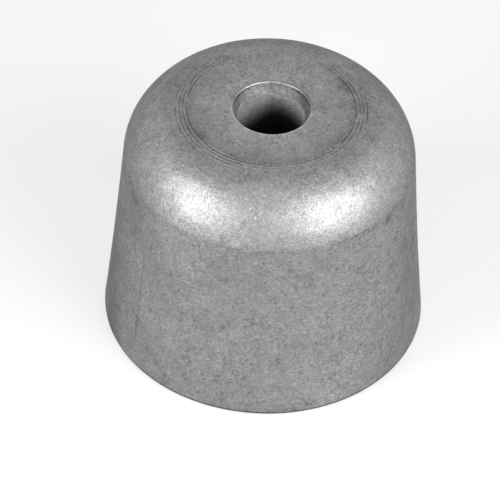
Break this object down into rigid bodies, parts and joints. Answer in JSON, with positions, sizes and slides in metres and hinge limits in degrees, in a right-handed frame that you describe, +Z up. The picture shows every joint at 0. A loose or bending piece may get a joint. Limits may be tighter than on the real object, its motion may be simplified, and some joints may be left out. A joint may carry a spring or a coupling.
{
  "type": "sacrificial anode",
  "caption": "Cap-shaped zinc sacrificial anode: a blunt drafted cone with a rounded shoulder, a countersunk bolt bore through its flat crown and a round pocket in its base.",
  "frame": {"origin": "centre of the flat base, on the bolt's axis", "axes": "+Z up along the bolt's axis, out of the crown; the casting is round, so X and Y are any two directions square to it"},
  "size_m": [0.0638, 0.0638, 0.052],
  "materials": {
    "cast_zinc": "bare zinc casting, mid grey and satin, with a fine as-cast grain, small pits and a thin dark bloom"
  },
  "bodies": {
    "root": {"anode": "cast_zinc"}
  },
  "joints": []
}
